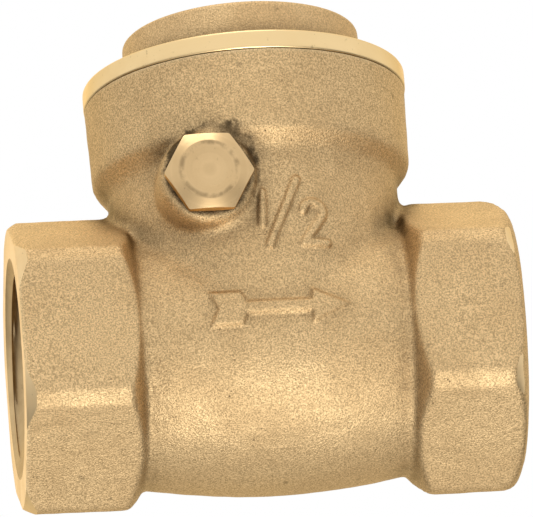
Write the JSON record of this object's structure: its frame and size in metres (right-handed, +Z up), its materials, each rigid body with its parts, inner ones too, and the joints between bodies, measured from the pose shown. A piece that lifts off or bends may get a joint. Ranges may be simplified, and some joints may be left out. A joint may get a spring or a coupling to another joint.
{
  "type": "check valve",
  "caption": "Brass swing check valve with threaded hexagonal ends, a screwed round cap and a hinged disc that closes on a seat when flow reverses.",
  "frame": {"origin": "centre of the inlet port's face, on the pipe axis", "axes": "+X along the pipe axis in the direction of flow, +Z up towards the cap, -Y towards the hinge pin's plug and the raised arrow"},
  "size_m": [0.05, 0.0335, 0.0489],
  "materials": {
    "cast_brass": "rough sand-cast skin with machined ends",
    "cap_brass": "sand-cast boss with a bright turned rim",
    "gasket": "soft sealing ring",
    "turned_brass": "turned, satin",
    "copper_washer": "soft copper",
    "steel_pin": "ground",
    "hanger_brass": "cast, lightly tumbled",
    "disc_brass": "turned",
    "rubber_facing": "moulded nitrile rubber",
    "stainless": "bright stainless steel"
  },
  "bodies": {
    "body": {"valve_body": "cast_brass"},
    "gasket": {"cap_gasket": "gasket"},
    "cap": {"cap": "cap_brass"},
    "plug_seal": {"plug_washer": "copper_washer"},
    "plug": {"hinge_pin_plug": "turned_brass"},
    "pin": {"hinge_pin": "steel_pin"},
    "hanger": {"disc_hanger": "hanger_brass"},
    "disc": {"disc_holder": "disc_brass", "seat_disc": "rubber_facing", "facing_washer": "stainless", "facing_screw": "stainless", "hanger_washer": "turned_brass", "hanger_nut": "turned_brass"}
  },
  "joints": [
    {"name": "disc_swing", "type": "hinge", "parent": "body", "child": "hanger", "pos_m": [0.0194, 0, 0.0141], "axis": [0, -1, 0], "range_deg": [0, 55]},
    {"name": "disc_spin", "type": "hinge", "parent": "hanger", "child": "disc", "pos_m": [0.01717, 0, 0], "axis": [0.9848, 0, 0.1736], "continuous": true},
    {"name": "pin_spin", "type": "hinge", "parent": "body", "child": "pin", "pos_m": [0.0194, 0, 0.0141], "axis": [0, -1, 0], "continuous": true},
    {"name": "cap_lift", "type": "slide", "parent": "body", "child": "gasket", "axis": [0, 0, 1], "range_m": [0, 0.006]},
    {"name": "cap_turn", "type": "hinge", "parent": "gasket", "child": "cap", "pos_m": [0.025, 0, 0.0269], "axis": [0, 0, 1], "range_deg": [0, 1441]},
    {"name": "plug_draw", "type": "slide", "parent": "body", "child": "plug_seal", "axis": [0, -1, 0], "range_m": [0, 0.00337]},
    {"name": "plug_turn", "type": "hinge", "parent": "plug_seal", "child": "plug", "pos_m": [0.0194, -0.0155, 0.0141], "axis": [0, -1, 0], "range_deg": [0, 1621]}
  ],
  "couplings": [
    {"joint": "cap_turn", "follows": "cap_lift", "rad_per_m": 4188.8},
    {"joint": "plug_turn", "follows": "plug_draw", "rad_per_m": 8377.6}
  ]
}
